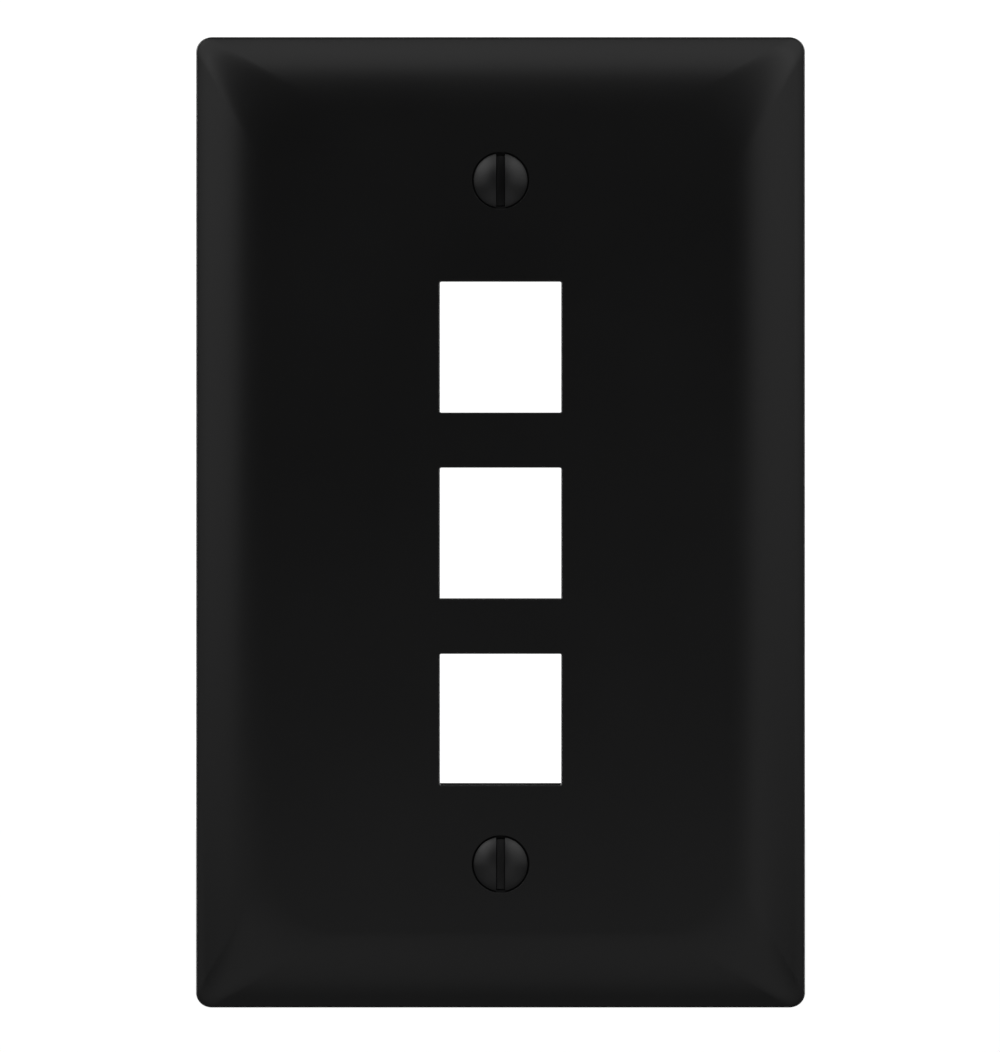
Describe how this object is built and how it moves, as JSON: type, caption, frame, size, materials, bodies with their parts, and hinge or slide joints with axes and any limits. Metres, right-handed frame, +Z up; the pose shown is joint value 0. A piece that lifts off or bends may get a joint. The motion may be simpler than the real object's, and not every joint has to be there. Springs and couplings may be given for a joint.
{
  "type": "wall plate cover",
  "caption": "Upright rectangular wall plate with a soft rolled edge, square jack ports in a column, and oval-head screws above and below them.",
  "frame": {"origin": "in the wall plane, on the plate's vertical centre line, halfway between the two screws", "axes": "+Z up, +Y into the wall, so the face looks along -Y, and +X to the right as seen from the room"},
  "size_m": [0.0746, 0.0262, 0.1188],
  "materials": {
    "plate_plastic": "smooth satin black moulded thermoplastic",
    "screw_paint": "black painted steel"
  },
  "bodies": {
    "plate": {"wall_plate": "plate_plastic"},
    "screw_upper": {"mounting_screw_upper": "screw_paint"},
    "screw_lower": {"mounting_screw_lower": "screw_paint"}
  },
  "joints": [
    {"name": "screw_upper_travel", "type": "slide", "parent": "plate", "child": "screw_upper", "axis": [0, -1, 0], "range_m": [0, 0.019]},
    {"name": "screw_lower_travel", "type": "slide", "parent": "plate", "child": "screw_lower", "axis": [0, -1, 0], "range_m": [0, 0.019]}
  ]
}
